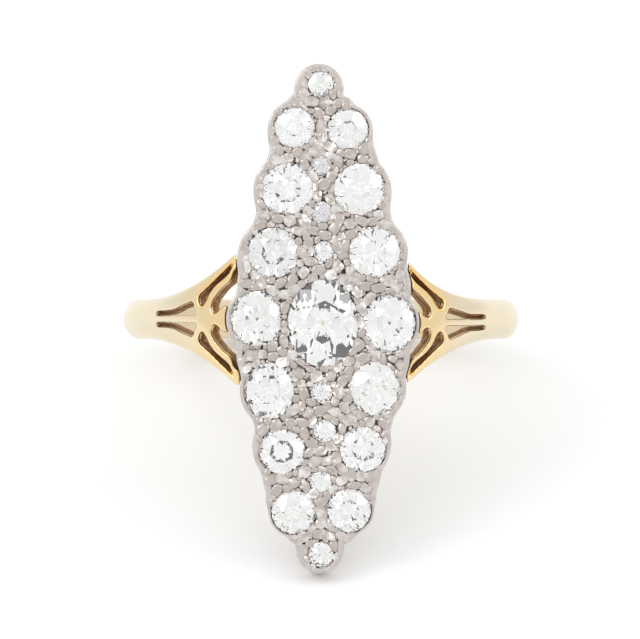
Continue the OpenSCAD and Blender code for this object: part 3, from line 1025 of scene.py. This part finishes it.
# A saw leans away from the head and along the finger, in degrees. Its cut flares at the skin, and
# beside it a painted reflection, the glow of the metal's own reflections, is laid so far and so strongly.
PIERCINGS = [
    dict(shape=WEDGE, lean=5, tip=6, low=RIGHT_LOW, flare=0.03, reach=0.08, glow=0.2),
    dict(shape=CRESCENT, lean=12, tip=4, low=0.0, flare=0.10, reach=0.45, glow=0.85),
    dict(shape=GAP, lean=10, tip=1, low=RIGHT_LOW, flare=0.05, reach=0.18, glow=0.5),
]

# How much of that painted glow each quarter has
GLOW = {(-1, 1): 0.85, (1, 1): 1.0, (-1, -1): 0.5, (1, -1): 0.55}


def rounded(loop, times=2, ease=0.06):
    """The outline with twice the points each time, and gentler corners."""
    q = np.array(loop)
    for _ in range(times):
        mid = (q + np.roll(q, -1, 0)) / 2
        bend = (np.roll(q, 1, 0) + np.roll(q, -2, 0)) / 2
        new = mid + (mid - bend) * ease
        q = np.stack([q, new], 1).reshape(-1, 2)
    return q


def on_skin(piercing, mx, my):
    """The outline of a piercing on the skin of one of the four quarters."""
    slim = mx > 0 and my > 0
    lower = my * piercing["low"] if mx > 0 else 0.0
    out = []
    for u, v in rounded(piercing["shape"]):
        x = FLARE_X - u * (FLARE_X - JOIN_X)
        a = angle_at(x)
        out.append((x, v * half_w(x, slim) - lower, skin_r(a, x, v) * math.cos(math.radians(a))))
    return np.array(out)


# Rings of a punch: how far each lies below the skin, and its share of the flare
PUNCH_RINGS = [(4.4, 0.0), (0.28, 0.0), (0.1, 0.35), (-0.06, 1.0), (-1.5, 1.0)]


def punches(piercing):
    """A punch for each quarter. It opens out a little at the skin, so that its edge is eased."""
    lean, tip, flare = math.radians(piercing["lean"]), math.radians(piercing["tip"]), piercing["flare"]
    d = np.array([math.cos(tip) * math.sin(lean), math.sin(tip), math.cos(tip) * math.cos(lean)])
    made = []
    for mx in (1, -1):
        for my in (1, -1):
            skin = on_skin(piercing, mx, my)
            side = np.roll(skin, -1, 0) - np.roll(skin, 1, 0)
            side /= np.linalg.norm(side, axis=1)[:, None]
            out = np.cross(d, side)
            if (out * (skin - skin.mean(0))).sum() < 0:
                out = -out
            rings = [skin + out * flare * share - d * deep for deep, share in PUNCH_RINGS]
            n = len(skin)
            verts = [tuple(p * np.array([mx, my, 1])) for r in rings for p in r]
            faces = [tuple(range(n)), tuple(range(len(verts) - 1, len(verts) - n - 1, -1))]
            for k in range(len(rings) - 1):
                for i in range(n):
                    j = (i + 1) % n
                    faces.append((k * n + i, k * n + n + i, k * n + n + j, k * n + j))
            made.append(outward_faces(mesh_of("punch", verts, faces)))
    return made


# The seam of solder round the head and under it. Where its outline folds over, points that are
# nearer to the head than the least are left out.
SEAM = 0.04
SEAM_LEAST = 0.034
SEAM_BELOW = 0.05

# Cuts end well clear of the metal: this high, and this far along the finger
CLEAR_HIGH = 14.0
CLEAR_ALONG = 9


def head_prism():
    """The room that the head takes up, with its seam, from its back upwards."""
    q = OUTLINE - IN * SEAM
    q = q[nearest(q, OUTLINE_FINE) > SEAM_LEAST]
    n = len(q)
    verts = [(*p, HEAD_BACK - SEAM_BELOW) for p in q] + [(*p, CLEAR_HIGH) for p in q]
    faces = [tuple(range(n - 1, -1, -1)), tuple(range(n, 2 * n))]
    faces += [(i, (i + 1) % n, n + (i + 1) % n, n + i) for i in range(n)]
    return outward_faces(mesh_of("prism", verts, faces))


def finger_rod():
    """The room that the finger takes up."""
    n = 256
    a = np.arange(n) * 2 * math.pi / n
    ring = [(FINGER_R * math.sin(t), FINGER_R * math.cos(t)) for t in a]
    verts = [(x, -CLEAR_ALONG, z) for x, z in ring] + [(x, CLEAR_ALONG, z) for x, z in ring]
    faces = [tuple(range(n)), tuple(range(2 * n - 1, n - 1, -1))]
    faces += [(i, n + i, n + (i + 1) % n, (i + 1) % n) for i in range(n)]
    return outward_faces(mesh_of("rod", verts, faces))


SKIN_STEP = 0.06
POLISH_EACH = 0.5
POLISH_TIMES = 6
THIN_TO = 0.54


def shank_mesh():
    blank = stand("band", band_blank())
    cuts = [finger_rod()] + [me for piercing in PIERCINGS for me in punches(piercing)] + [head_prism()]
    tools = [stand("tool", me) for me in cuts]
    for tool in tools:
        b = blank.modifiers.new("cut", "BOOLEAN")
        b.object, b.operation, b.solver = tool, "DIFFERENCE", "MANIFOLD"
    r = blank.modifiers.new("skin", "REMESH")
    r.mode, r.voxel_size, r.adaptivity = "VOXEL", SKIN_STEP, 0.0
    s = blank.modifiers.new("polish", "SMOOTH")
    s.factor, s.iterations = POLISH_EACH, POLISH_TIMES
    d = blank.modifiers.new("thin", "DECIMATE")
    d.ratio = THIN_TO
    me = evaluated(blank)
    for o in [blank] + tools:
        bpy.data.objects.remove(o)
    me.polygons.foreach_set("use_smooth", [True] * len(me.polygons))
    shank_wear_and_painted_light(me)
    return me


# The marks on the shank run between two values each: the angles from the head within which there are
# any, the depths below the skin of a sawn wall, which takes painted shade with grime, the shares of the
# half width at which a flank begins, and the distances across the finger at which the painted glow near
# the head begins and is full
UPPER = (100, 80)
SAWN = (0.08, 0.50)
FLANK = (0.98, 0.94)
HEAD_GLOW = (7.6, 4.9)
HEAD_GLOW_MOST = 0.42
FLANK_GLOW = 0.35


def shank_wear_and_painted_light(me):
    """Marks where the shank is sawn deep, for painted shade with grime, where a painted reflection glows
    on it, and where it is bored.
    """
    p = points_of(me)
    r = np.hypot(p[:, 0], p[:, 2])
    angle = np.degrees(np.arctan2(np.abs(p[:, 0]), p[:, 2]))
    skin, share = [], []
    for (x, y, _), a in zip(p, angle):
        crest, edge = crest_and_edge(a)
        share.append(y / half_w(edge, x > 0 and y > 0))
        skin.append(skin_r(min(a, 180), crest, share[-1]) if a > 10 else 12)
    deep = np.array(skin) - r
    upper = smooth(*UPPER, angle) * smooth(FINGER_R + 0.02, FINGER_R + 0.12, r)
    inner = smooth(*FLANK, np.abs(share))
    # The sawn walls' mask, for painted shade with grime
    set_attribute(me, "cut", smooth(*SAWN, deep) * upper * inner)
    # The painted reflection: a glow near the head and beside each piercing
    painted_glow = HEAD_GLOW_MOST * smooth(*HEAD_GLOW, np.abs(p[:, 0])) * upper
    for (mx, my), glow in GLOW.items():
        for piercing in PIERCINGS:
            near = nearest(p, on_skin(piercing, mx, my) * np.array([mx, my, 1]))
            painted_glow = np.maximum(painted_glow, glow * piercing["glow"] * smooth(piercing["reach"], 0.0, near))
    painted_glow = painted_glow * smooth(FINGER_R, FINGER_R + 0.1, r) * (FLANK_GLOW + (1 - FLANK_GLOW) * inner)
    set_attribute(me, "painted_glow", painted_glow)
    set_attribute(me, "bore", smooth(FINGER_R + 0.15, FINGER_R + 0.05, r))


keep("shank_gold", shank_mesh(), GOLD, "gold", "shank")

# Studio


def table_white():
    m, t, p = new_material("white table")
    at = linked(t, "ShaderNodeTexCoord").outputs["Object"]
    cloud = clouds(t, at, 90.0, 4.0)
    t.links.new(mixed(t, cloud, (0.93, 0.93, 0.93, 1), (0.95, 0.95, 0.95, 1)), p.inputs["Base Color"])
    p.inputs["Roughness"].default_value = 0.9
    p.inputs["Specular IOR Level"].default_value = 0.2
    return m


def floor(z):
    """A round white table at this height."""
    r, n = 0.6, 64
    turns = [2 * math.pi * i / n for i in range(n)]
    verts = [(0, 0, z)] + [(r * math.cos(a), r * math.sin(a), z) for a in turns]
    me = bpy.data.meshes.new("floor")
    me.from_pydata(verts, [], [(0, 1 + i, 1 + (i + 1) % n) for i in range(n)])
    me.materials.append(table_white())
    stand("floor", me)


floor(cad_box[0].z)

# The sky's brightness, from straight below to straight above
SKY = [(0.0, 0.95), (0.5, 0.92), (0.62, 0.98), (0.8, 1.03), (1.0, 1.08)]

world = bpy.data.worlds.new("studio")
bpy.context.scene.world = world
world.use_nodes = True
wt = world.node_tree
up = linked(wt, "ShaderNodeSeparateXYZ", Vector=linked(wt, "ShaderNodeTexCoord").outputs["Generated"])
ramp = linked(wt, "ShaderNodeValToRGB", Fac=ranged(wt, up.outputs[2], -1.0, 1.0))
for k, (at, level) in enumerate(SKY):
    e = ramp.color_ramp.elements[k] if k < 2 else ramp.color_ramp.elements.new(at)
    e.position, e.color = at, (level, level, level, 1)
wt.links.new(ramp.outputs[0], wt.nodes["Background"].inputs["Color"])
wt.nodes["Background"].inputs["Strength"].default_value = 1.0


def lamp(name, place, size, power):
    """A soft box that shines on the ring."""
    d = bpy.data.lights.new(name, "AREA")
    d.shape, d.size, d.energy = "DISK", size, power
    o = stand(name, d)
    o.location = place
    o.rotation_mode = "QUATERNION"
    o.rotation_quaternion = (-Vector(place)).to_track_quat("-Z", "Y")


lamp("soft box left", (-0.25, -0.10, 0.30), 0.22, 0.25)
lamp("soft box right", (0.28, -0.05, 0.22), 0.16, 0.12)

# The photograph is this wide, and its middle lies here. The camera stands far off, because little
# perspective shows in it.
PIXEL_MM = 0.0495
PIXELS = 640
VIEW_MM = PIXEL_MM * PIXELS
PHOTO_MIDDLE = (-0.05, -0.025, 0)
DISTANCE = 1.5

camera = stand("camera", bpy.data.cameras.new("camera"))
camera.data.lens = camera.data.sensor_width * DISTANCE / (VIEW_MM * 0.001)
camera.data.clip_start, camera.data.clip_end = 0.1, 10
outlook = TO_WORLD.to_3x3().normalized() @ Vector((0, 0, 1))
aim = TO_WORLD @ Vector(PHOTO_MIDDLE)
camera.location = aim + outlook * DISTANCE
camera.rotation_mode = "QUATERNION"
camera.rotation_quaternion = outlook.to_track_quat("Z", "Y")
bpy.context.scene.camera = camera
bpy.context.scene.view_settings.view_transform = "Standard"
